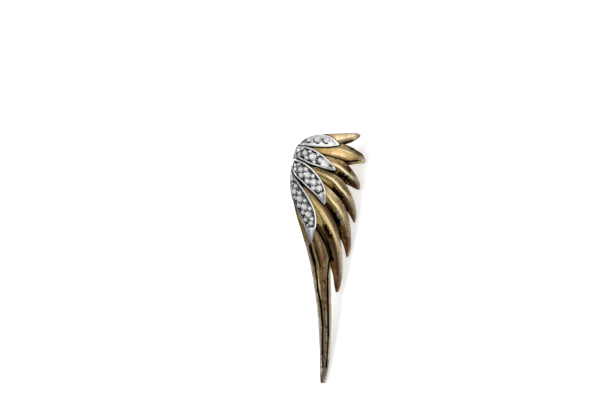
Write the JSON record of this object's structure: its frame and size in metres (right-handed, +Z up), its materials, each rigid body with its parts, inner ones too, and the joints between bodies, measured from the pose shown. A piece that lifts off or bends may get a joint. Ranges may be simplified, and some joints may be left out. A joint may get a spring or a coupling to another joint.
{
  "type": "wing stud earring",
  "caption": "Wing-shaped stud earring: gilt feathers sweeping into a long tail, white coverts set with small stones, and an ear post on the flat back.",
  "frame": {"origin": "middle of the footprint, on the surface that the earring lies on", "axes": "+Y along the wing from the tail tip to the shoulder, +Z up; the front faces up and towards +X, the post reaches down towards -X"},
  "size_m": [0.0142, 0.0502, 0.0116],
  "materials": {
    "gilt_feathers": "polished gold plate with dark oxidised flanks",
    "white_metal": "bright white plate, black oxidised between the stones",
    "clear_stone": "clear brilliant-cut stones",
    "post_metal": "polished silver"
  },
  "bodies": {
    "root": {"wing": "gilt_feathers", "covert_1": "white_metal", "covert_2": "white_metal", "covert_3": "white_metal", "covert_4": "white_metal", "stones_1": "clear_stone", "stones_2": "clear_stone", "stones_3": "clear_stone", "stones_4": "clear_stone", "ear_post": "post_metal"}
  },
  "joints": []
}
